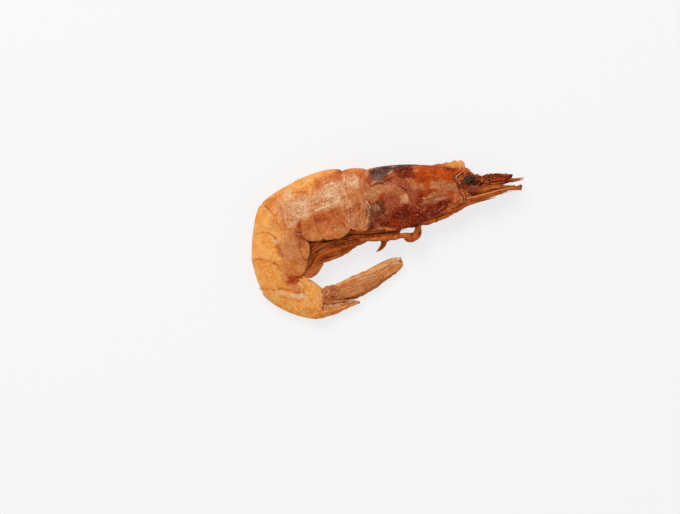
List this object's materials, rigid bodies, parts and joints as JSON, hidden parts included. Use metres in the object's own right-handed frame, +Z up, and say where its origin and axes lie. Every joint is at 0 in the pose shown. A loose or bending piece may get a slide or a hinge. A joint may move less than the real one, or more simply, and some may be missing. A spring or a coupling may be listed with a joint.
{
  "type": "dried shrimp",
  "caption": "Dried whole shrimp lying on its side, body curved and tail curled under, with folded legs, short feelers and a closed tail fan.",
  "frame": {"origin": "centre of the footprint, on the surface the shrimp lies on", "axes": "+X to the head, +Y to the back of the shrimp's front half, +Z up, which is the shrimp's right side"},
  "size_m": [0.068, 0.0394, 0.0091],
  "materials": {
    "pale_shell": "dry orange shell, slight sheen",
    "red_shell": "dark red dried shell, some gloss",
    "limbs": "dry brown-orange limbs",
    "eye": "shrunken, dull black"
  },
  "bodies": {
    "root": {"abdomen_1": "pale_shell", "abdomen_2": "pale_shell", "abdomen_3": "pale_shell", "abdomen_4": "pale_shell", "abdomen_5": "pale_shell", "abdomen_6": "pale_shell", "antenna_left": "limbs", "antenna_right": "limbs", "antennal_scale_left": "limbs", "antennal_scale_right": "limbs", "antennule_left": "limbs", "antennule_right": "limbs", "carapace": "red_shell", "eye_left": "eye", "eye_right": "eye", "head": "red_shell", "leg_1_left": "limbs", "leg_1_right": "limbs", "leg_2_left": "limbs", "leg_2_right": "limbs", "leg_3_left": "limbs", "leg_3_right": "limbs", "leg_4_left": "limbs", "leg_4_right": "limbs", "leg_5_left": "limbs", "leg_5_right": "limbs", "maxilliped_left": "limbs", "maxilliped_right": "limbs", "pleopod_1_left": "limbs", "pleopod_1_right": "limbs", "pleopod_2_left": "limbs", "pleopod_2_right": "limbs", "pleopod_3_left": "limbs", "pleopod_3_right": "limbs", "pleopod_4_left": "limbs", "pleopod_4_right": "limbs", "pleopod_5_left": "limbs", "pleopod_5_right": "limbs", "rostrum": "pale_shell", "telson": "pale_shell", "uropod_base_left": "pale_shell", "uropod_base_right": "pale_shell", "uropod_inner_left": "pale_shell", "uropod_inner_right": "pale_shell", "uropod_outer_left": "pale_shell", "uropod_outer_right": "pale_shell"}
  },
  "joints": []
}
